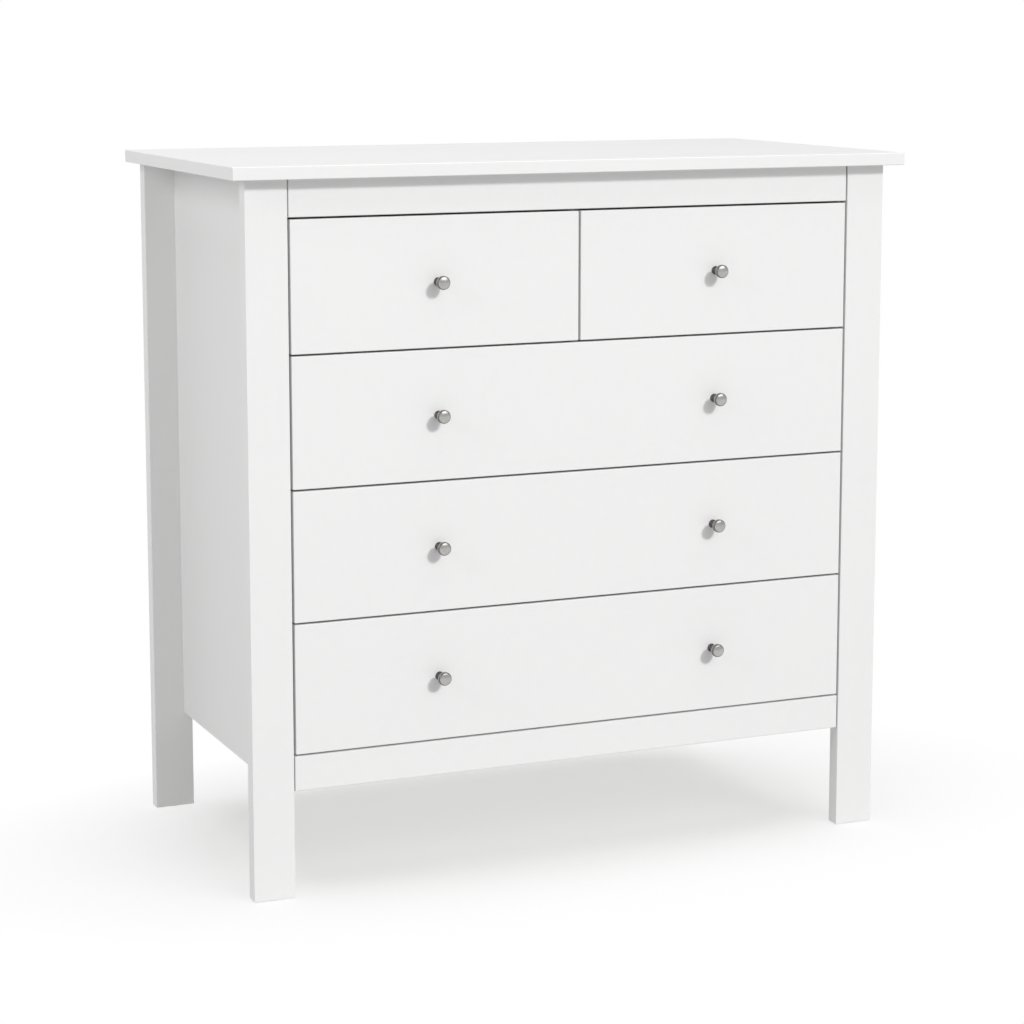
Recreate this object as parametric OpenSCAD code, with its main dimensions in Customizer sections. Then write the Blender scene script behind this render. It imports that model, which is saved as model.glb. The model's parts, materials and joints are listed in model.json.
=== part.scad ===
// Chest of drawers: two short drawers over three wide ones, on four plank posts.
// The origin is on the floor under the centre of the top panel. +Z is up and the drawers open towards -Y.

/* [Overall size] */
// Width over the outer faces of the posts
body_w = 870; // [760:10:1100]
// Depth from the front of the front posts to the back of the rear posts
body_d = 455; // [400:5:560]
// Height from the floor to the top surface
total_h = 900; // [840:10:1100]

/* [Top panel] */
// Thickness of the top panel
top_t = 16; // [15:1:25]
// How far the top panel stands out past the posts on each side
top_side_overhang = 20; // [5:1:30]
// How far the top panel stands out past the posts at the front
top_front_overhang = 20; // [10:1:35]

/* [Posts and side panels] */
// Width of each post, seen from the front
post_w = 53; // [51:1:54]
// Thickness of each post, front to back
post_t = 20; // [18:1:25]
// Distance from a post's outer face in to the side panel's outer face
side_recess = 41; // [40:1:42]
// Thickness of each side panel and of the centre divider
panel_t = 15; // [15:1:18]
// Height of the side panels' lower edge above the floor
side_bottom_z = 132; // [80:1:160]
// Thickness of the foot glides under the posts
glide_t = 1; // [0.5:0.5:4]

/* [Rails and back] */
// Height of the upper rails
upper_rail_h = 46; // [40:1:60]
// Height of the lower rails
lower_rail_h = 44; // [40:1:60]
// Height of the lower rails' lower edge above the floor
lower_rail_z = 135; // [100:1:160]
// How far the rails are set back from the posts' outer faces
rail_set_back = 1; // [0:0.5:3]
// Width of the fine groove between a front rail's ends and the posts
joint_line_w = 1.5; // [0.5:0.5:2.5]
// Thickness of the two flat rails that carry the centre divider
divider_rail_t = 18; // [16:1:20]
// Thickness of the back panel
back_t = 3; // [3:0.5:4]
// Distance between the two wall fixing holes in the upper rear rail
wall_hole_spacing = 400; // [200:10:600]
// Diameter of each wall fixing hole
wall_hole_d = 5; // [4:0.5:6]

/* [Drawers] */
// Gap above and below every drawer front
front_gap = 2.5; // [1.5:0.5:3]
// Gap beside every drawer front
side_gap = 3; // [2:0.5:3.5]
// Thickness of the drawer fronts
front_t = 16; // [15:1:18]
// Thickness of the drawer sides
box_side_t = 15; // [15:1:16]
// Thickness of the drawer backs
box_back_t = 12; // [12:1:15]
// Thickness of the drawer bottoms
bottom_t = 4; // [3:0.5:5]
// Height of the drawer box above its front's lower edge
box_rise = 15; // [14:1:20]
// How far the drawer box stops below its front's upper edge
box_drop = 32; // [28:1:40]
// Space between a drawer side and the panel beside it
side_clear = 1.5; // [1:0.5:2]

/* [Runner strips] */
// Height of a runner strip
strip_h = 14; // [12:1:16]
// How far a runner strip stands out from its panel
strip_w = 8.5; // [7:0.5:8.5]

/* [Knobs] */
// Diameter of the knob's head
knob_d = 17; // [16:0.5:24]
// How far a knob stands out from the drawer front
knob_l = 22; // [20:1:26]

/* [Hidden] */
$fn = 48;
top_w = body_w + 2 * top_side_overhang;
top_d = body_d + top_front_overhang;
top_z = total_h - top_t;
back_y = top_d / 2;
front_y = back_y - body_d;
front_joint_y = front_y + post_t;
rear_joint_y = back_y - post_t;
post_x = body_w / 2;
opening_x = post_x - post_w;
panel_x = post_x - side_recess;
inner_x = panel_x - panel_t;
back_panel_y = rear_joint_y - back_t;

// Joinery: dowels, and cam locks with their bolts
along_x = [0, 90, 0];
along_y = [90, 0, 0];
along_z = [0, 0, 0];
fit = 0.05;
past = 1; // how far a cutter runs past the face that it starts from
dowel_r = 4;
dowel_l = 30;
dowel_in = 10;
dowel_shift = dowel_l / 2 - dowel_in;
joint_x = (opening_x + panel_x) / 2;
cam_r = 7.5;
cam_l = 12;
cam_in = 24;
cam_slot = [3, 8, 1.4];
bolt_r = 3;
bolt_play = 0.5;
bolt_neck_r = 1.8;
bolt_head_l = 4;
rebate = 4.5;
rebate_play = 0.5;
joint_line_d = 5; // from the posts' front faces to the bottom of the groove

// Rows of drawers, counted from the bottom
rows = 4;
opening_z = lower_rail_z + lower_rail_h;
opening_h = top_z - upper_rail_h - opening_z;
front_h = (opening_h - (rows + 1) * front_gap) / rows;
row_pitch = front_h + front_gap;
boundary_z = [for (r = [0:rows]) opening_z + front_gap / 2 + r * row_pitch];
front_back_y = front_y + front_t;
box_rear_clear = 12;
box_end_y = back_panel_y - box_rear_clear;
box_side_h = front_h - box_rise - box_drop;
housing = 6;
dado = 4;
back_inset = 8;
back_drop = 3;
back_play = 0.2;
back_y_end = box_end_y - back_inset;
bottom_rise = 10;
bottom_groove = 5;
bottom_play = 0.3;
runner_rise = 0.55 * box_side_h;

// Flat rails under the two short drawers, and the divider that stands on them
divider_rail_w = 60;
divider_rail_step = 3; // how far the rails' top stands above the line between the rows
divider_rail_z = boundary_z[3] + divider_rail_step - divider_rail_t;
divider_z = divider_rail_z + divider_rail_t;
divider_x = panel_t / 2;

// Runner strips and their countersunk screws
strip_y = front_joint_y + 2;
strip_end_y = box_end_y;
strip_screw_inset = 40;
strip_screw_y = [strip_y + strip_screw_inset, (strip_y + strip_end_y) / 2, strip_end_y - strip_screw_inset];
screw_r = 1.75;
screw_head_r = 3.6;
screw_head_l = 2.2;
screw_tip_l = 3;
screw_tip_r = 0.3;
screw_in = 6.5;
screw_slot = [2, 3.4, 0.8];
groove_w = strip_w - side_clear + 1;
groove_play_below = 0.5;
groove_play_above = 0.3;

// Knobs and their machine screws
knob_base_r = 5;
knob_rim_l = 1;
knob_flare_l = 2;
knob_stem_r = 4.2;
knob_stem_l = 10;
knob_band_l = 3.6;
knob_crown_l = 3.4;
knob_screw_r = 2;
knob_screw_in = 10;
knob_screw_play = 0.25;
knob_screw_head_r = 4;
knob_screw_head_l = 2.6;
knob_screw_slot = [4.4, 0.9, 2];
knob_bore_spare = 0.5;
knob_x = (opening_x - side_gap / 2) / 2;
glide_r = 8;
glide_foot_r = 7;
glide_pin_r = 1.5;
glide_pin_l = 12;

white_lacquer = [0.95, 0.95, 0.945];
white_foil = [0.92, 0.92, 0.90];
hardboard = [0.88, 0.87, 0.84];
beech = [0.80, 0.66, 0.47];
steel = [0.66, 0.67, 0.69];
nickel = [0.70, 0.69, 0.67];
nylon = [0.85, 0.85, 0.83];

drawer_names = ["top_left_drawer", "top_right_drawer", "second_drawer", "third_drawer", "bottom_drawer"];
drawer_pieces = ["front", "left_side", "right_side", "back", "bottom", "knobs", "knob_screws"];

// Each dowel is [middle, direction]. It goes dowel_in into the first board and further into the second.
rail_dowel_z = [lower_rail_z + lower_rail_h / 2, top_z - upper_rail_h / 2];
low_dowel_rise = 20;
low_dowel_z = max(rail_dowel_z[0], side_bottom_z) + low_dowel_rise;
top_dowel_drop = 30; // keeps the uppermost post dowels clear of the cams
post_dowel_z = [low_dowel_z, boundary_z[2], boundary_z[4] - top_dowel_drop];
divider_rail_dowel_y = [15, divider_rail_w - 15];
divider_dowel_inset = 30;
post_dowels = [
    for (side = [-1, 1], z = post_dowel_z, end = [-1, 1])
        [[side * joint_x, end < 0 ? front_joint_y + dowel_shift : rear_joint_y - dowel_shift, z], along_y]
];
top_dowels = [
    for (side = [-1, 1], y = [front_y, rear_joint_y])
        [[side * (post_x - post_w / 2), y + post_t / 2, top_z - dowel_shift], along_z]
];
rail_dowels = [
    for (side = [-1, 1], y = [front_y, rear_joint_y], z = rail_dowel_z)
        [[side * opening_x, y + post_t / 2, z], along_x]
];
divider_rail_dowels = [
    for (side = [-1, 1], y = [front_joint_y, back_panel_y - divider_rail_w], step = divider_rail_dowel_y)
        [[side * (inner_x - dowel_shift), y + step, divider_rail_z + divider_rail_t / 2], along_x]
];
divider_dowels = [
    for (y = [front_joint_y + divider_dowel_inset, back_panel_y - divider_dowel_inset], top = [0, 1])
        [[0, y, top ? top_z - dowel_shift : divider_z + dowel_shift], along_z]
];

// Each cam joint is [point on the joint, turn that points +Z into the panel, side].
cam_z = [boundary_z[1], boundary_z[4]];
cam_y = [-body_d / 4, body_d / 4];
cam_joints = concat(
    [for (side = [-1, 1], z = cam_z) [[side * joint_x, front_joint_y, z], [-90, 0, 0], side]],
    [for (side = [-1, 1], z = cam_z) [[side * joint_x, rear_joint_y, z], [90, 0, 0], side]],
    [for (side = [-1, 1], y = cam_y) [[side * joint_x, y, top_z], [180, 0, 0], side]]
);

// Rows, and the left and right limits of each drawer's front and box
function is_short(i) = i < 2;
function row(i) = is_short(i) ? rows - 1 : rows - i;
function front_z(i) = opening_z + front_gap + row(i) * row_pitch;
function front_x(i, side) =
    is_short(i) && side != (i == 0 ? -1 : 1) ? -side * side_gap / 2 : side * (opening_x - side_gap);
function panel_face_x(i, side) =
    is_short(i) && side != (i == 0 ? -1 : 1) ? -side * divider_x : side * inner_x;
function box_x(i, side) = panel_face_x(i, side) - side * side_clear;
function box_in_x(i, side) = box_x(i, side) - side * box_side_t;
function box_z(i) = front_z(i) + box_rise;
function runner_z(i) = box_z(i) + runner_rise;
function knob_places(i) = is_short(i) ? [i == 0 ? -knob_x : knob_x] : [-knob_x, knob_x];

// Each runner strip is [face that it is screwed to, side that it stands out to, height].
strips = [for (i = [0:4], side = [-1, 1]) [panel_face_x(i, side), -side, runner_z(i)]];

module board(low, high) {
    translate(low) cube(high - low);
}

// Board between two x values that come in either order
module board_between(x1, x2, low_yz, high_yz) {
    board([min(x1, x2), low_yz[0], low_yz[1]], [max(x1, x2), high_yz[0], high_yz[1]]);
}

module dowels(places, extra = 0) {
    for (p = places) translate(p[0]) rotate(p[1])
        cylinder(r = dowel_r + extra, h = dowel_l + 2 * extra, center = true);
}

module at_cam_joints() {
    for (j = cam_joints) translate(j[0]) rotate(j[1]) {
        $cam_side = j[2];
        children();
    }
}

// Cylinder across the joint, in from the panel's inner face
module cam_disc(r) {
    translate([-$cam_side * (joint_x - inner_x - cam_l / 2), 0, cam_in]) rotate(along_x)
        cylinder(r = r, h = cam_l, center = true);
}

module cam_holes() {
    at_cam_joints() {
        cam_disc(cam_r);
        cylinder(r = bolt_r + bolt_play, h = cam_in);
    }
}

module bolt_holes() {
    at_cam_joints() translate([0, 0, -dowel_in - fit])
        cylinder(r = bolt_r + fit, h = dowel_in + past);
}

// Places a runner strip's own frame: +X out of the panel, z = 0 at the strip's middle
module at_strips() {
    for (s = strips) translate([s[0], 0, s[2]]) mirror([s[1] < 0 ? 1 : 0, 0, 0]) children();
}

module strip_screw(extra = 0) {
    for (y = strip_screw_y) translate([0, y, 0]) rotate(along_x) {
        translate([0, 0, strip_w - screw_head_l])
            cylinder(r1 = screw_r + extra, r2 = screw_head_r + extra, h = screw_head_l);
        translate([0, 0, screw_tip_l - screw_in])
            cylinder(r = screw_r + extra, h = strip_w + screw_in - screw_head_l - screw_tip_l + fit);
        translate([0, 0, -screw_in])
            cylinder(r1 = screw_tip_r + extra, r2 = screw_r + extra, h = screw_tip_l);
    }
}

module post(side, y) {
    color(white_lacquer) difference() {
        board_between(side * opening_x, side * post_x, [y, glide_t], [y + post_t, top_z]);
        dowels(post_dowels, fit);
        dowels(top_dowels, fit);
        dowels(rail_dowels, fit);
        bolt_holes();
        at_glides() glide_pin(fit);
    }
}

module front_left_post() { post(-1, front_y); }
module front_right_post() { post(1, front_y); }
module rear_left_post() { post(-1, rear_joint_y); }
module rear_right_post() { post(1, rear_joint_y); }

module top_panel() {
    color(white_lacquer) difference() {
        board([-top_w / 2, -top_d / 2, top_z], [top_w / 2, top_d / 2, total_h]);
        dowels(top_dowels, fit);
        dowels(divider_dowels, fit);
        bolt_holes();
    }
}

// Side panel with a rebate along its rear inner edge for the back panel
module side_panel(side) {
    color(white_lacquer) difference() {
        board_between(side * inner_x, side * panel_x, [front_joint_y, side_bottom_z], [rear_joint_y, top_z]);
        board_between(
            side * (inner_x - past), side * (inner_x + rebate),
            [back_panel_y - fit, side_bottom_z - past], [back_y, top_z + past]
        );
        dowels(post_dowels, fit);
        dowels(divider_rail_dowels, fit);
        cam_holes();
        at_strips() strip_screw(fit);
    }
}

module left_side_panel() { side_panel(-1); }
module right_side_panel() { side_panel(1); }

module rail(y, z, h) {
    color(white_lacquer) difference() {
        board([-opening_x, y, z], [opening_x, y + post_t - rail_set_back, z + h]);
        dowels(rail_dowels, fit);
    }
}

// Front rail, cut back at each end so that a fine groove shows beside the post
module front_rail(z, h) {
    color(white_lacquer) difference() {
        rail(front_y + rail_set_back, z, h);
        for (side = [-1, 1])
            board_between(
                side * (opening_x - joint_line_w), side * (opening_x + past),
                [front_y - past, z - past], [front_y + joint_line_d, z + h + past]
            );
    }
}

module upper_front_rail() { front_rail(top_z - upper_rail_h, upper_rail_h); }
module lower_front_rail() { front_rail(lower_rail_z, lower_rail_h); }
module lower_rear_rail() { rail(rear_joint_y, lower_rail_z, lower_rail_h); }

module wall_holes() {
    for (side = [-1, 1])
        translate([side * wall_hole_spacing / 2, back_y, top_z - upper_rail_h / 2])
            rotate(along_y) cylinder(d = wall_hole_d, h = 2 * (post_t + back_t + past), center = true);
}

module upper_rear_rail() {
    color(white_lacquer) difference() {
        rail(rear_joint_y, top_z - upper_rail_h, upper_rail_h);
        wall_holes();
    }
}

module divider_rail(y) {
    color(white_foil) difference() {
        board([-inner_x, y, divider_rail_z], [inner_x, y + divider_rail_w, divider_z]);
        dowels(divider_rail_dowels, fit);
        dowels(divider_dowels, fit);
    }
}

module divider_front_rail() { divider_rail(front_joint_y); }
module divider_rear_rail() { divider_rail(back_panel_y - divider_rail_w); }

module centre_divider() {
    color(white_foil) difference() {
        board([-divider_x, front_joint_y, divider_z], [divider_x, back_panel_y, top_z]);
        dowels(divider_dowels, fit);
        at_strips() strip_screw(fit);
    }
}

module back_panel() {
    half_w = inner_x + rebate - rebate_play;
    color(hardboard) difference() {
        board([-half_w, back_panel_y, lower_rail_z], [half_w, rear_joint_y, top_z]);
        wall_holes();
    }
}

module runner_strips() {
    color(beech) at_strips() difference() {
        board([0, strip_y, -strip_h / 2], [strip_w, strip_end_y, strip_h / 2]);
        strip_screw(fit);
    }
}

module runner_screws() {
    color(steel) at_strips() difference() {
        strip_screw();
        for (y = strip_screw_y, turn = [0, 90])
            translate([strip_w, y, 0]) rotate([turn, 0, 0]) cube(screw_slot, center = true);
    }
}

module carcass_dowels() {
    color(beech) dowels(concat(post_dowels, top_dowels, rail_dowels, divider_rail_dowels, divider_dowels));
}

// Cam with a pocket for its bolt's head and a cross slot in its face
module cam_locks() {
    color(steel) at_cam_joints() difference() {
        cam_disc(cam_r - fit);
        translate([0, 0, cam_in - cam_r - past])
            cylinder(r = bolt_r + bolt_play, h = cam_r + past + bolt_play);
        for (turn = [0, 90])
            translate([-$cam_side * (joint_x - inner_x), 0, cam_in]) rotate([turn, 0, 0])
                cube(cam_slot, center = true);
    }
}

module cam_bolts() {
    color(steel) at_cam_joints() {
        translate([0, 0, -dowel_in]) cylinder(r = bolt_r, h = dowel_in + cam_in - 2 * bolt_head_l);
        translate([0, 0, cam_in - 2 * bolt_head_l - fit])
            cylinder(r = bolt_neck_r, h = bolt_head_l + 2 * fit);
        translate([0, 0, cam_in - bolt_head_l]) cylinder(r = bolt_r, h = bolt_head_l);
    }
}

module at_glides() {
    for (side = [-1, 1], y = [front_y, rear_joint_y])
        translate([side * (post_x - post_w / 2), y + post_t / 2, 0]) children();
}

module glide_pin(extra = 0) {
    cylinder(r = glide_pin_r + extra, h = glide_t + glide_pin_l + extra);
}

module foot_glides() {
    color(nylon) at_glides() {
        cylinder(r1 = glide_foot_r, r2 = glide_r, h = glide_t);
        glide_pin();
    }
}

// Drawer front with housings for the sides, a groove for the bottom and holes for the knob screws
module drawer_front(i) {
    z = box_z(i);
    bottom_z = z + bottom_rise;
    color(white_lacquer) difference() {
        board([front_x(i, -1), front_y, front_z(i)], [front_x(i, 1), front_back_y, front_z(i) + front_h]);
        for (side = [-1, 1])
            board_between(
                box_x(i, side) + side * fit, box_in_x(i, side) - side * fit,
                [front_back_y - housing, z - fit], [front_back_y + past, z + box_side_h + fit]
            );
        board_between(
            box_x(i, -1) + box_side_t / 2, box_x(i, 1) - box_side_t / 2,
            [front_back_y - bottom_groove, bottom_z - fit], [front_back_y + past, bottom_z + bottom_t + fit]
        );
        at_knobs(i) translate([0, 0, -front_t - past])
            cylinder(r = knob_screw_r + knob_screw_play, h = front_t + 2 * past);
    }
}

// Drawer side: a running groove outside, and grooves for the bottom and the back inside
module drawer_side(i, side) {
    z = box_z(i);
    outer = box_x(i, side);
    inner = box_in_x(i, side);
    start_y = front_back_y - housing;
    bottom_z = z + bottom_rise;
    color(white_foil) difference() {
        board_between(outer, inner, [start_y, z], [box_end_y, z + box_side_h]);
        board_between(
            outer + side * past, outer - side * groove_w,
            [front_back_y, runner_z(i) - strip_h / 2 - groove_play_below],
            [box_end_y + past, runner_z(i) + strip_h / 2 + groove_play_above]
        );
        board_between(
            inner - side * past, inner + side * bottom_groove,
            [start_y - past, bottom_z - fit], [box_end_y + past, bottom_z + bottom_t + fit]
        );
        board_between(
            inner - side * past, inner + side * dado,
            [back_y_end - box_back_t - fit, bottom_z + bottom_t], [back_y_end + fit, z + box_side_h + past]
        );
    }
}

module drawer_back(i) {
    reach = dado - back_play;
    color(white_foil) board(
        [box_in_x(i, -1) - reach, back_y_end - box_back_t, box_z(i) + bottom_rise + bottom_t],
        [box_in_x(i, 1) + reach, back_y_end, box_z(i) + box_side_h - back_drop]
    );
}

module drawer_bottom(i) {
    reach = bottom_groove - bottom_play;
    color(hardboard) board(
        [box_in_x(i, -1) - reach, front_back_y - reach, box_z(i) + bottom_rise],
        [box_in_x(i, 1) + reach, back_y_end, box_z(i) + bottom_rise + bottom_t]
    );
}

// Quarter of an ellipse about centre, from angle a to angle b, as points
function arc(centre, radii, a, b) = let (step = (b - a) / 6)
    [for (n = [0:6]) [centre[0] + radii[0] * cos(a + n * step), centre[1] + radii[1] * sin(a + n * step)]];

// Half outline of a knob: a small base, a slim stem, and a head with a straight edge and a low crown
function knob_outline() = let (
    head_r = knob_d / 2,
    edge_z = knob_l - knob_crown_l,
    back_z = edge_z - knob_band_l,
    swell = [head_r - knob_stem_r, back_z - knob_stem_l]
) concat(
    [[0, 0], [knob_base_r, 0]],
    arc([knob_base_r, knob_rim_l + knob_flare_l], [knob_base_r - knob_stem_r, knob_flare_l], 270, 180),
    arc([head_r, knob_stem_l], swell, 180, 90),
    [for (a = [0:15:90]) [head_r * cos(a), edge_z + knob_crown_l * sin(a)]]
);

module at_knobs(i) {
    for (x = knob_places(i)) translate([x, front_y, front_z(i) + front_h / 2]) rotate(along_y) children();
}

module drawer_knobs(i) {
    color(nickel) at_knobs(i) difference() {
        rotate_extrude() polygon(knob_outline());
        translate([0, 0, -past]) cylinder(r = knob_screw_r + fit, h = knob_screw_in + past + knob_bore_spare);
    }
}

// Pan-head machine screw from the back of the drawer front into the knob
module drawer_knob_screws(i) {
    color(steel) at_knobs(i) translate([0, 0, -front_t]) difference() {
        union() {
            translate([0, 0, -fit]) cylinder(r = knob_screw_r, h = front_t + knob_screw_in);
            translate([0, 0, -knob_screw_head_l])
                cylinder(r1 = 0.8 * knob_screw_head_r, r2 = knob_screw_head_r, h = knob_screw_head_l);
        }
        for (turn = [0, 90])
            translate([0, 0, -knob_screw_head_l]) rotate([0, 0, turn]) cube(knob_screw_slot, center = true);
    }
}

top_panel();
front_left_post();
front_right_post();
rear_left_post();
rear_right_post();
left_side_panel();
right_side_panel();
upper_front_rail();
lower_front_rail();
upper_rear_rail();
lower_rear_rail();
divider_front_rail();
divider_rear_rail();
centre_divider();
back_panel();
runner_strips();
runner_screws();
carcass_dowels();
cam_locks();
cam_bolts();
foot_glides();
for (i = [0:4]) {
    name = drawer_names[i];
    drawer_front(i);
    drawer_side(i, -1);
    drawer_side(i, 1);
    drawer_back(i);
    drawer_bottom(i);
    drawer_knobs(i);
    drawer_knob_screws(i);
}
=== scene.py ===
"""Looks for the chest of drawers: rounded edges, turned knobs, procedural finishes, studio and camera."""
import json
import math

import bmesh
import bpy
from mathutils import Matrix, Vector

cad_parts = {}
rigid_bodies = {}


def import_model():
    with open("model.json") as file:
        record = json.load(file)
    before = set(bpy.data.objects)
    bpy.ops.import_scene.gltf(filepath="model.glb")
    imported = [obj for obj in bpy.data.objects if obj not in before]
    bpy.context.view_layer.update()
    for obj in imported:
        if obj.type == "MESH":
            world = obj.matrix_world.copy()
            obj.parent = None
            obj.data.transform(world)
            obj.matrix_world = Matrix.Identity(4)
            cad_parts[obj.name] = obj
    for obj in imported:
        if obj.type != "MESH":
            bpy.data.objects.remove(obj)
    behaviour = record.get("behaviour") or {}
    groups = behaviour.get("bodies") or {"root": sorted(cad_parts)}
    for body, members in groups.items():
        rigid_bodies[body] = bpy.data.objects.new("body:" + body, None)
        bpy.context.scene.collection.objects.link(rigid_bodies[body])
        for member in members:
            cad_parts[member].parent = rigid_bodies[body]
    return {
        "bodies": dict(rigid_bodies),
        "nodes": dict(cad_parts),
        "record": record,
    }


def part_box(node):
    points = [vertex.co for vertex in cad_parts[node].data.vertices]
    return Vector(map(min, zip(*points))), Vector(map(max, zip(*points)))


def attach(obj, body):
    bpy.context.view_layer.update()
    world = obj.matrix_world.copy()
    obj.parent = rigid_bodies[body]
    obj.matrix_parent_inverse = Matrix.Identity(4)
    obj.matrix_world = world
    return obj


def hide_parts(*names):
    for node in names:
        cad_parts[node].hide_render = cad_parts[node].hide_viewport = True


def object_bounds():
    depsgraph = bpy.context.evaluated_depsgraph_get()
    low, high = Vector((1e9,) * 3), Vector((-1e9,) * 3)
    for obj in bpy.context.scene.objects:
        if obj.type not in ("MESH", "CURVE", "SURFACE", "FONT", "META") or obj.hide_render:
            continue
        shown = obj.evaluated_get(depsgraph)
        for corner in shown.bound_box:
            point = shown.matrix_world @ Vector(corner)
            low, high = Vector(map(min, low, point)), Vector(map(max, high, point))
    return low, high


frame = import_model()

MM = 0.001
CAD_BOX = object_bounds()
SLOT_OF = {part["node"]: part["material_slot"] for part in frame["record"]["subparts"]}
DRAWERS = [body for body in frame["bodies"] if body.endswith("_drawer")]

# Radiance of the backdrop's fill and of each soft box
WORLD_FILL = 0.30
OVERHEAD = 0.40
LEFT_FILL = 4.5
FRONT_BOX = 2.0
# How bright the key makes a white surface that faces it
KEY = 0.50
# Light that the floor gives off where the chest stands, and how much of its light reaches the chest
FLOOR_GLOW = 0.46
FLOOR_BOUNCE = 0.58
# What polished metal sees of the studio walls
STUDIO_WALLS = 0.70


def in_front_of(*path):
    """A point measured in chest heights from the floor under the middle of the chest's front."""
    height = CAD_BOX[1].z
    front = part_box("front_left_post")[0].y
    return Vector((path[0] * height, front + path[1] * height, path[2] * height))


# ---------------------------------------------------------------- camera


def make_camera():
    """The view from the front left, a little above the top panel."""
    data = bpy.data.cameras.new("camera")
    data.sensor_width = 36
    data.lens = 93.7
    data.shift_y = -0.09
    data.clip_end = 60
    camera = bpy.data.objects.new("camera", data)
    yaw, pitch = math.radians(23.34), math.radians(8.48)
    camera.location = in_front_of(-1.5439, -3.3410, 1.1855)
    camera.rotation_euler = (math.pi / 2 - pitch, 0, -yaw)
    bpy.context.scene.collection.objects.link(camera)
    bpy.context.scene.camera = camera


# ---------------------------------------------------------------- nodes


class Nodes:
    """A small helper that adds and links shader nodes in one tree."""

    def __init__(self, tree):
        self.tree = tree
        self.tree.nodes.clear()

    def add(self, kind, settings=None, **inputs):
        """Adds a node. Settings are its properties, and inputs are values or sockets by socket name."""
        node = self.tree.nodes.new(kind)
        for key, value in (settings or {}).items():
            setattr(node, key, value)
        for key, value in inputs.items():
            self.feed(node, key.replace("_", " "), value)
        return node

    def feed(self, node, name, value):
        """Gives one input a value, or links a socket to it."""
        socket = node.inputs[int(name)] if name.isdigit() else node.inputs[name]
        if isinstance(value, bpy.types.NodeSocket):
            self.tree.links.new(value, socket)
        else:
            socket.default_value = value

    def place(self, scale=(1, 1, 1)):
        """The surface's own place in metres, stretched by scale."""
        where = self.add("ShaderNodeTexCoord").outputs["Object"]
        mapping = self.add("ShaderNodeMapping", Vector=where)
        mapping.inputs["Scale"].default_value = scale
        return mapping.outputs["Vector"]

    def noise(self, where, scale, detail=2.0, roughness=0.5, distortion=0.0):
        """Noise with features about 1/scale metres across."""
        return self.add("ShaderNodeTexNoise", Vector=where, Scale=scale, Detail=detail,
                        Roughness=roughness, Distortion=distortion).outputs["Fac"]

    def between(self, value, low, high, out_low, out_high):
        """Maps value from low..high to out_low..out_high, held at the ends."""
        node = self.add("ShaderNodeMapRange", Value=value)
        limits = {"From Min": low, "From Max": high, "To Min": out_low, "To Max": out_high}
        for name, number in limits.items():
            node.inputs[name].default_value = number
        return node.outputs["Result"]

    def blend(self, share, first, second):
        """A colour that goes from first to second as share goes from 0 to 1."""
        node = self.add("ShaderNodeMix", {"data_type": "RGBA"})
        self.feed(node, "0", share)
        for index, colour in ((6, first), (7, second)):
            if isinstance(colour, bpy.types.NodeSocket):
                self.tree.links.new(colour, node.inputs[index])
            else:
                node.inputs[index].default_value = (*colour, 1)
        return node.outputs[2]

    def bump(self, height, strength, distance):
        """A normal from a height pattern; distance is its depth in metres."""
        node = self.add("ShaderNodeBump", Height=height, Strength=strength, Distance=distance)
        return node.outputs["Normal"]

    def finish(self, **inputs):
        """The surface shader and the material output."""
        shader = self.add("ShaderNodeBsdfPrincipled", **inputs)
        self.add("ShaderNodeOutputMaterial", Surface=shader.outputs["BSDF"])


def new_material(name):
    """An empty material and its node helper."""
    material = bpy.data.materials.new(name)
    material.use_nodes = True
    return material, Nodes(material.node_tree)


# ---------------------------------------------------------------- finishes


# How closely a surface's normal agrees with its wider surroundings, on a rounded edge that gets a painted
# highlight and on a flat
EDGE_AGREEMENT, FLAT_AGREEMENT = 0.90, 0.995


def edge_share(n, width):
    """1 on a rounded edge narrower than width, and 0 on the flats."""
    wide = n.add("ShaderNodeBevel", {"samples": 4}, Radius=width).outputs["Normal"]
    own = n.add("ShaderNodeNewGeometry").outputs["Normal"]
    dot = n.add("ShaderNodeVectorMath", {"operation": "DOT_PRODUCT"})
    n.feed(dot, "0", wide)
    n.feed(dot, "1", own)
    return n.between(dot.outputs["Value"], EDGE_AGREEMENT, FLAT_AGREEMENT, 1.0, 0.0)


def white_lacquer():
    """Sprayed satin lacquer: faint orange peel, slow tint changes and a painted highlight, a lighter tint,
    on the rounded edges.
    """
    material, n = new_material("white_lacquer")
    where = n.place()
    cloud = n.noise(where, 5, detail=3)
    peel = n.noise(where, 520, detail=1)
    speck = n.noise(where, 90, detail=4, roughness=0.6)
    tint = n.blend(cloud, (0.800, 0.801, 0.800), (0.822, 0.822, 0.818))
    tint = n.blend(n.between(speck, 0.30, 0.75, 0.0, 0.5), tint, (0.835, 0.833, 0.826))
    # Painted highlight: the rounded edges get a lighter tint
    painted_edge_highlight = n.blend(edge_share(n, 1.6 * MM), tint, (0.862, 0.858, 0.846))
    n.finish(Base_Color=painted_edge_highlight, Roughness=n.between(speck, 0.3, 0.7, 0.36, 0.46),
             Normal=n.bump(peel, 0.12, 0.12 * MM), IOR=1.48)
    return material


def white_foil():
    """Melamine foil on particle board: a fine pressed pore pattern."""
    material, n = new_material("white_foil")
    where = n.place((1, 0.15, 1))
    pores = n.noise(where, 900, detail=3, roughness=0.7)
    cloud = n.noise(n.place(), 14, detail=3)
    tint = n.blend(cloud, (0.765, 0.765, 0.752), (0.800, 0.800, 0.786))
    tint = n.blend(n.between(pores, 0.60, 0.75, 0.0, 0.5), tint, (0.70, 0.70, 0.68))
    n.finish(Base_Color=tint, Roughness=n.between(pores, 0.3, 0.7, 0.46, 0.60),
             Normal=n.bump(pores, 0.25, 0.1 * MM), IOR=1.46)
    return material


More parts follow.
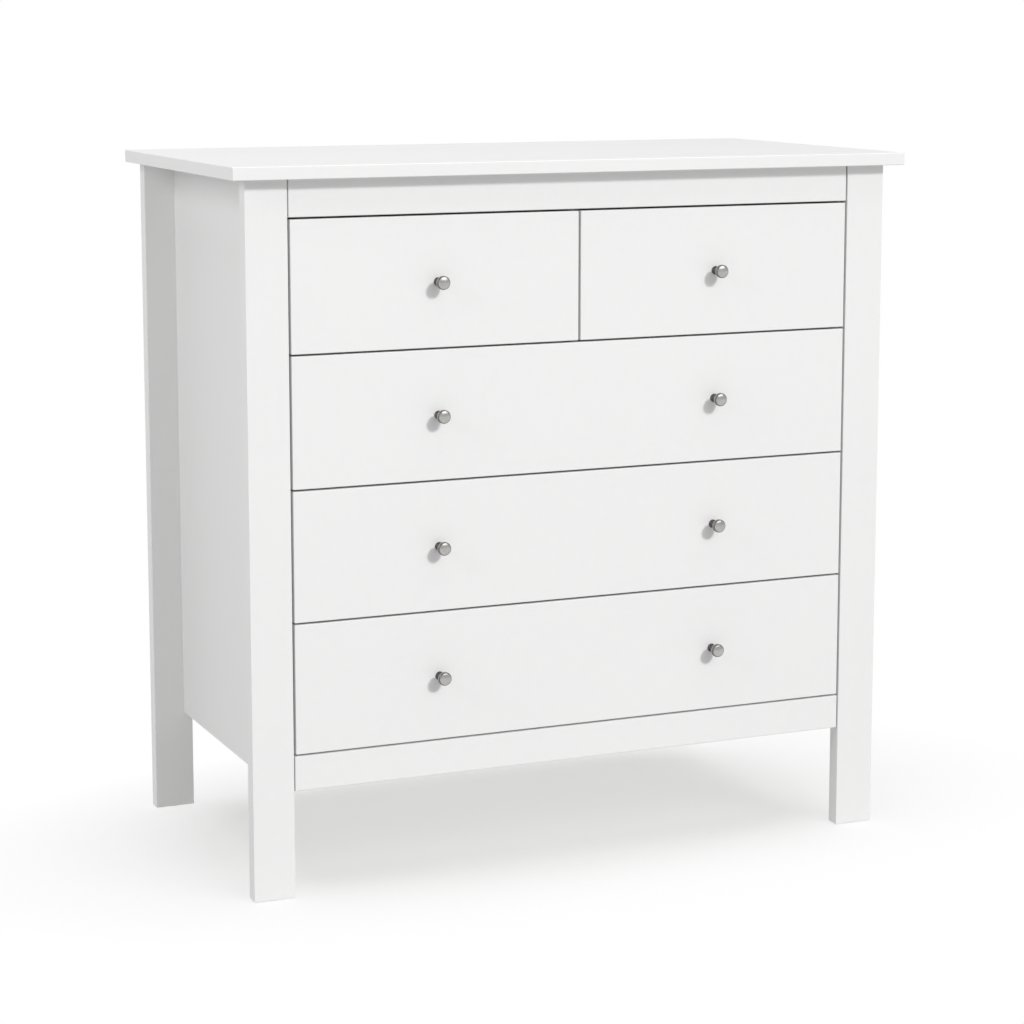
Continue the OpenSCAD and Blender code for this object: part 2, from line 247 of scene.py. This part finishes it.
def hardboard():
    """Painted hardboard: short pressed fibres that show through a thin coat."""
    material, n = new_material("hardboard")
    where = n.place((1, 1, 0.4))
    fibre = n.noise(where, 420, detail=6, roughness=0.7, distortion=1.4)
    cloud = n.noise(n.place(), 9, detail=4)
    tint = n.blend(cloud, (0.735, 0.730, 0.705), (0.775, 0.770, 0.748))
    tint = n.blend(n.between(fibre, 0.52, 0.72, 0.0, 0.7), tint, (0.68, 0.665, 0.63))
    n.finish(Base_Color=tint, Roughness=n.between(fibre, 0.3, 0.7, 0.55, 0.74),
             Normal=n.bump(fibre, 0.35, 0.2 * MM), IOR=1.45)
    return material


def beech():
    """Oiled beech along Y: long growth lines, short dark flecks and fine pores."""
    material, n = new_material("beech")
    rings = n.noise(n.place((1, 0.03, 1)), 160, detail=4, roughness=0.6, distortion=0.6)
    flecks = n.noise(n.place((1, 0.12, 1)), 800, detail=2, roughness=0.5)
    tint = n.blend(rings, (0.50, 0.315, 0.165), (0.62, 0.425, 0.245))
    tint = n.blend(n.between(flecks, 0.62, 0.72, 0.0, 0.65), tint, (0.33, 0.19, 0.09))
    n.finish(Base_Color=tint, Roughness=n.between(rings, 0.3, 0.7, 0.44, 0.60),
             Normal=n.bump(flecks, 0.3, 0.15 * MM), IOR=1.48)
    return material


def metal(name, colour, dull_tone_and_painted_shade, roughness, grain, depth):
    """Plated metal: fine marks in the finish and a slow change of shine."""
    material, n = new_material(name)
    marks = n.noise(n.place(), grain, detail=5, roughness=0.7)
    cloud = n.noise(n.place(), 120, detail=3)
    tint = n.blend(n.between(cloud, 0.3, 0.7, 0.0, 1.0), colour, dull_tone_and_painted_shade)
    n.finish(Base_Color=tint, Metallic=1.0, Normal=n.bump(marks, 0.25, depth),
             Roughness=n.between(marks, 0.25, 0.75, roughness - 0.04, roughness + 0.06))
    return material


def satin_nickel():
    """Turned and plated nickel: rings left by the lathe, and painted shade, a near-black tint, on the
    base, the stem, the back of the head and its front rounding.
    """
    material, n = new_material("satin_nickel")
    # Each ring of the turned knobs carries its distance along the outline and its share of painted shade
    along = n.add("ShaderNodeAttribute", {"attribute_name": "along"}).outputs["Fac"]
    dull_tone_and_painted_shade = n.add("ShaderNodeAttribute", {"attribute_name": "dull_tone_and_painted_shade"}).outputs["Fac"]
    rings = n.add("ShaderNodeTexNoise", {"noise_dimensions": "1D"}, W=along, Scale=5200.0, Detail=2.0)
    cloud = n.noise(n.place(), 160, detail=3)
    tint = n.blend(n.between(cloud, 0.3, 0.7, 0.0, 1.0), (0.43, 0.424, 0.410), (0.49, 0.482, 0.466))
    # Painted shade: near black on the base, stem and back of the head, which sit in shade, and a painted
    # dark reflection on the front rounding
    tint = n.blend(dull_tone_and_painted_shade, tint, (0.115, 0.112, 0.106))
    n.finish(Base_Color=tint, Metallic=1.0, Normal=n.bump(rings.outputs["Fac"], 0.10, 0.03 * MM),
             Roughness=n.between(rings.outputs["Fac"], 0.3, 0.7, 0.20, 0.27))
    return material


def nylon():
    """Moulded nylon: a faint matt grain."""
    material, n = new_material("nylon")
    grain = n.noise(n.place(), 1500, detail=2)
    cloud = n.noise(n.place(), 60, detail=2)
    tint = n.blend(cloud, (0.60, 0.60, 0.58), (0.66, 0.66, 0.64))
    n.finish(Base_Color=tint, Roughness=n.between(grain, 0.3, 0.7, 0.45, 0.6),
             Normal=n.bump(grain, 0.2, 0.06 * MM), IOR=1.53)
    return material


def make_finishes():
    """One material for each slot of the record."""
    return {
        "white_lacquer": white_lacquer(),
        "white_foil": white_foil(),
        "hardboard": hardboard(),
        "beech": beech(),
        "steel": metal("steel", (0.56, 0.57, 0.60), (0.64, 0.65, 0.66), 0.34, 900, 0.04 * MM),
        "satin_nickel": satin_nickel(),
        "nylon": nylon(),
    }


# ---------------------------------------------------------------- edges

# Radius of the eased edges of each kind of piece
EDGE_RADIUS = {
    "top_panel": 1.2 * MM,
    "post": 0.9 * MM,
    "rail": 1.3 * MM,
    "front": 1.0 * MM,
    "panel": 0.6 * MM,
    "divider": 0.6 * MM,
    "strips": 0.6 * MM,
    "side": 0.5 * MM,
    "back": 0.3 * MM,
    "bottom": 0.3 * MM,
}
# Edges that turn by more than this many radians count as corners
SHARP_TURN = 0.6
# Shorter edges belong to drilled holes, which stay crisp
SHORTEST_BOARD_EDGE = 2.5 * MM


def edge_radius(name):
    """The eased edge of a node, from its whole name or from its last word, or None."""
    return EDGE_RADIUS.get(name) or EDGE_RADIUS.get(name.rsplit("_", 1)[-1])


def clean_shading():
    """A node group that welds a mesh, shades it smooth between sharp turns, and marks edges to bevel."""
    tree = bpy.data.node_groups.new("clean_shading", "GeometryNodeTree")
    tree.interface.new_socket("Geometry", in_out="INPUT", socket_type="NodeSocketGeometry")
    tree.interface.new_socket("Geometry", in_out="OUTPUT", socket_type="NodeSocketGeometry")
    nodes, links = tree.nodes, tree.links
    start = nodes.new("NodeGroupInput")
    weld = nodes.new("GeometryNodeMergeByDistance")
    weld.inputs["Distance"].default_value = 0.01 * MM
    drop = nodes.new("GeometryNodeRemoveAttribute")
    drop.inputs["Name"].default_value = "custom_normal"
    faces = nodes.new("GeometryNodeSetShadeSmooth")
    edges = nodes.new("GeometryNodeSetShadeSmooth")
    edges.domain = "EDGE"
    angle = nodes.new("GeometryNodeInputMeshEdgeAngle")
    gentle = nodes.new("FunctionNodeCompare")
    gentle.operation = "LESS_THAN"
    gentle.inputs["B"].default_value = SHARP_TURN
    links.new(angle.outputs["Unsigned Angle"], gentle.inputs["A"])
    links.new(gentle.outputs["Result"], edges.inputs["Shade Smooth"])
    ends = nodes.new("GeometryNodeInputMeshEdgeVertices")
    length = nodes.new("ShaderNodeVectorMath")
    length.operation = "DISTANCE"
    links.new(ends.outputs["Position 1"], length.inputs[0])
    links.new(ends.outputs["Position 2"], length.inputs[1])
    long = nodes.new("FunctionNodeCompare")
    long.operation = "GREATER_THAN"
    long.inputs["B"].default_value = SHORTEST_BOARD_EDGE
    links.new(length.outputs["Value"], long.inputs["A"])
    sharp = nodes.new("FunctionNodeCompare")
    sharp.operation = "GREATER_THAN"
    sharp.inputs["B"].default_value = SHARP_TURN
    links.new(angle.outputs["Unsigned Angle"], sharp.inputs["A"])
    both = nodes.new("FunctionNodeBooleanMath")
    both.operation = "AND"
    links.new(long.outputs["Result"], both.inputs[0])
    links.new(sharp.outputs["Result"], both.inputs[1])
    mark = nodes.new("GeometryNodeStoreNamedAttribute")
    mark.data_type = "FLOAT"
    mark.domain = "EDGE"
    mark.inputs["Name"].default_value = "bevel_weight_edge"
    links.new(both.outputs["Boolean"], mark.inputs["Value"])
    end = nodes.new("NodeGroupOutput")
    chain = [start, weld, drop, faces, edges, mark, end]
    for a, b in zip(chain, chain[1:]):
        links.new(a.outputs["Geometry"], b.inputs["Geometry"])
    return tree


def ease_edges(piece, radius, group):
    """Rounds the sharp edges of a CAD piece with modifiers, and leaves its mesh as it is."""
    clean = piece.modifiers.new("Shading", "NODES")
    clean.node_group = group
    if radius is None:
        return
    bevel = piece.modifiers.new("Edges", "BEVEL")
    bevel.width = radius
    bevel.segments = 3
    bevel.limit_method = "WEIGHT"
    bevel.use_clamp_overlap = False
    bevel.harden_normals = True


# ---------------------------------------------------------------- knobs

KNOB_SIDES = 96
# A ring narrower than this is a single point on the axis
POINT_RADIUS = 1e-7


def arc(centre, radii, start, end, steps):
    """Points of an ellipse's arc as (radius, height), from start to end in degrees."""
    turns = [math.radians(start + (end - start) * i / steps) for i in range(steps + 1)]
    return [(centre[0] + radii[0] * math.cos(t), centre[1] + radii[1] * math.sin(t)) for t in turns]


def knob_outline(head, length):
    """Half outline of a turned knob as (radius, height, share of painted shade): base, stem, and head with
    a dome.
    """
    # Radii of the base and the stem, and the rounding of the base's lip
    base, stem, lip = 0.65 * head, 0.49 * head, 0.3 * MM
    # Heights where the base ends, where the stem is straight and where it widens into the head
    rim, waist, neck = 1.0 * MM, 3.2 * MM, 0.45 * length
    # The head's side, and the roundings behind it and in front of it
    band, turn, soft = 3.6 * MM, 0.6 * MM, 1.6 * MM
    # How far the dome leans where it meets the front rounding, in degrees
    tilt = 25
    sine, cosine = math.sin(math.radians(tilt)), math.cos(math.radians(tilt))
    dome = (head - soft + soft * sine) / sine
    edge = length - dome * (1 - cosine) - soft * cosine
    back = edge - band
    # The first number of each section is its share of painted shade
    sections = [
        (1.0, [(0, 0), (base, 0)]),
        (1.0, arc((base - lip, rim - lip), (lip, lip), 0, 90, 4)),
        (1.0, arc((base - lip, waist), (base - lip - stem, waist - rim), 270, 180, 10)[1:]),
        (1.0, arc((head - turn, neck), (head - turn - stem, back - neck), 180, 90, 16)),
        (0.4, arc((head - turn, back + turn), (turn, turn), -90, 0, 5)[1:]),
        (0.0, [(head, back + 2 * turn)]),
        (0.85, arc((head - soft, edge), (soft, soft), 0, 90 - tilt, 10)),
        (0.0, arc((0, length - dome), (dome, dome), 90 - tilt, 90, 16)[1:]),
    ]
    return [(radius, height, dull_tone_and_painted_shade) for dull_tone_and_painted_shade, points in sections for radius, height in points]


def turned(mesh, outline, centre):
    """Spins an outline round an axis from centre to the front. Each ring keeps its place and its share of
    painted shade.
    """
    along = mesh.verts.layers.float["along"]
    painted_shade_layer = mesh.verts.layers.float["dull_tone_and_painted_shade"]
    rings = []
    travelled, last = 0.0, outline[0]
    for radius, height, dull_tone_and_painted_shade in outline:
        travelled += math.hypot(radius - last[0], height - last[1])
        last = (radius, height)
        count = 1 if radius < POINT_RADIUS else KNOB_SIDES
        ring = []
        for i in range(count):
            turn = 2 * math.pi * i / KNOB_SIDES
            place = centre + Vector((radius * math.cos(turn), -height, radius * math.sin(turn)))
            vertex = mesh.verts.new(place)
            vertex[along] = travelled
            vertex[painted_shade_layer] = dull_tone_and_painted_shade
            ring.append(vertex)
        rings.append(ring)
    for lower, upper in zip(rings, rings[1:]):
        for i in range(KNOB_SIDES):
            j = (i + 1) % KNOB_SIDES
            corners = [ring[k % len(ring)] for ring, k in ((lower, i), (lower, j), (upper, j), (upper, i))]
            mesh.faces.new(list(dict.fromkeys(corners)))


def make_knobs(drawer, material):
    """The turned knobs of one drawer, in the place of its plain CAD knobs."""
    node = f"{drawer}_knobs"
    low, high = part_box(node)
    head, length = (high.z - low.z) / 2, high.y - low.y
    left, right = low.x + head, high.x - head
    places = [left] if right - left < MM else [left, right]
    mesh = bmesh.new()
    # Distance along the outline, and each ring's share of painted shade
    for name in ("along", "dull_tone_and_painted_shade"):
        mesh.verts.layers.float.new(name)
    for x in places:
        turned(mesh, knob_outline(head, length), Vector((x, high.y, (low.z + high.z) / 2)))
    bmesh.ops.recalc_face_normals(mesh, faces=mesh.faces)
    for face in mesh.faces:
        face.smooth = True
    data = bpy.data.meshes.new(f"{drawer}_turned_knobs")
    mesh.to_mesh(data)
    mesh.free()
    data.materials.append(material)
    knobs = bpy.data.objects.new(f"{drawer}_turned_knobs", data)
    bpy.context.scene.collection.objects.link(knobs)
    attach(knobs, drawer)
    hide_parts(node)


# ---------------------------------------------------------------- studio


# Where the floor starts to fade and where it is pure white, in metres from the chest's middle
FADE_START, FADE_END = 0.42, 0.82
# The fade is this much shorter from front to back than from side to side
FADE_DEPTH = 1.8


def make_floor():
    """A wide pale floor that fades to pure white away from the chest."""
    side = 40.0
    data = bpy.data.meshes.new("floor")
    mesh = bmesh.new()
    bmesh.ops.create_grid(mesh, x_segments=8, y_segments=8, size=side / 2)
    mesh.to_mesh(data)
    mesh.free()
    floor = bpy.data.objects.new("floor", data)
    bpy.context.scene.collection.objects.link(floor)
    material, n = new_material("floor")
    where = n.place()
    far = n.add("ShaderNodeVectorMath", {"operation": "LENGTH"})
    n.feed(far, "0", n.place((1, FADE_DEPTH, 1)))
    share = n.between(far.outputs["Value"], FADE_START, FADE_END, 0.0, 1.0)
    grain = n.noise(where, 40, detail=3)
    pale = n.blend(grain, (0.67, 0.67, 0.67), (0.69, 0.69, 0.69))
    lit = n.add("ShaderNodeLightPath").outputs["Is Diffuse Ray"]
    near = n.add("ShaderNodeBsdfPrincipled", Base_Color=pale, Roughness=0.9)
    near.inputs["Specular IOR Level"].default_value = 0.0
    near.inputs["Emission Color"].default_value = (1, 1, 1, 1)
    n.feed(near, "Emission Strength", n.between(lit, 0.0, 1.0, FLOOR_GLOW, FLOOR_GLOW * FLOOR_BOUNCE))
    white = n.add("ShaderNodeEmission", Strength=n.between(lit, 0.0, 1.0, 1.0, FLOOR_BOUNCE))
    mixed = n.add("ShaderNodeMixShader")
    n.feed(mixed, "0", share)
    n.feed(mixed, "1", near.outputs["BSDF"])
    n.feed(mixed, "2", white.outputs["Emission"])
    n.add("ShaderNodeOutputMaterial", Surface=mixed.outputs["Shader"])
    data.materials.append(material)
    return floor


def make_world():
    """A white backdrop for the camera and a dimmer fill for everything else."""
    world = bpy.data.worlds.new("studio")
    world.use_nodes = True
    n = Nodes(world.node_tree)
    path = n.add("ShaderNodeLightPath")
    surface = n.add("ShaderNodeBackground", Color=(1, 1, 1, 1), Strength=WORLD_FILL).outputs["Background"]
    for ray, strength in (("Is Glossy Ray", STUDIO_WALLS), ("Is Camera Ray", 1.0)):
        seen = n.add("ShaderNodeBackground", Color=(1, 1, 1, 1), Strength=strength)
        mixed = n.add("ShaderNodeMixShader")
        n.feed(mixed, "0", path.outputs[ray])
        n.feed(mixed, "1", surface)
        n.feed(mixed, "2", seen.outputs["Background"])
        surface = mixed.outputs["Shader"]
    n.add("ShaderNodeOutputWorld", Surface=surface)
    bpy.context.scene.world = world


def soft_box(name, place, aim, width, height, radiance, spread=180):
    """A rectangular lamp at place that faces aim. The radiance is its surface's own at full spread."""
    data = bpy.data.lights.new(name, "AREA")
    data.spread = math.radians(spread)
    data.shape = "RECTANGLE"
    data.size, data.size_y = width, height
    data.energy = radiance * math.pi * width * height
    lamp = bpy.data.objects.new(name, data)
    lamp.location = place
    lamp.rotation_euler = (Vector(aim) - Vector(place)).to_track_quat("-Z", "Y").to_euler()
    lamp.visible_camera = False
    bpy.context.scene.collection.objects.link(lamp)
    return lamp


def skip(lamp, piece):
    """Keeps one lamp's light off one piece."""
    skipped = bpy.data.collections.new(f"{lamp.name}_skips")
    skipped.objects.link(piece)
    skipped.collection_objects[0].light_linking.link_state = "EXCLUDE"
    lamp.light_linking.receiver_collection = skipped


def make_key(travel, radiance, spread):
    """A small bright lamp, as far away as the sun."""
    data = bpy.data.lights.new("key", "SUN")
    data.angle = spread
    data.energy = radiance * math.pi
    lamp = bpy.data.objects.new("key", data)
    lamp.rotation_euler = Vector(travel).to_track_quat("-Z", "Y").to_euler()
    lamp.visible_glossy = False
    bpy.context.scene.collection.objects.link(lamp)
    return lamp


def make_studio():
    """Floor, backdrop, lamps and key. The key and the left lamp skip the floor, so its shade is soft."""
    floor = make_floor()
    make_world()
    overhead = soft_box("overhead", (0.0, 0.0, 3.4), (0, 0, 0), 4.0, 4.0, OVERHEAD, spread=90)
    overhead.visible_glossy = False
    left = soft_box("left_fill", (-3.2, -0.7, 2.3), (0, 0, 0.5), 1.8, 1.6, LEFT_FILL)
    soft_box("front_box", (1.17, -3.28, 2.62), (0, -0.23, 0.5), 3.0, 1.4, FRONT_BOX)
    key = make_key((-0.38, 1.0, -0.64), KEY, math.radians(8))
    skip(left, floor)
    skip(key, floor)
    bpy.context.scene.view_settings.view_transform = "Standard"
    bpy.context.scene.view_settings.look = "None"


# ---------------------------------------------------------------- build


def build():
    """Dresses every CAD node and adds what stands around the chest."""
    make_camera()
    make_studio()
    finishes = make_finishes()
    group = clean_shading()
    for name, piece in frame["nodes"].items():
        for place in piece.material_slots:
            place.material = finishes[SLOT_OF[name]]
        ease_edges(piece, edge_radius(name), group)
    for drawer in DRAWERS:
        make_knobs(drawer, finishes["satin_nickel"])


build()
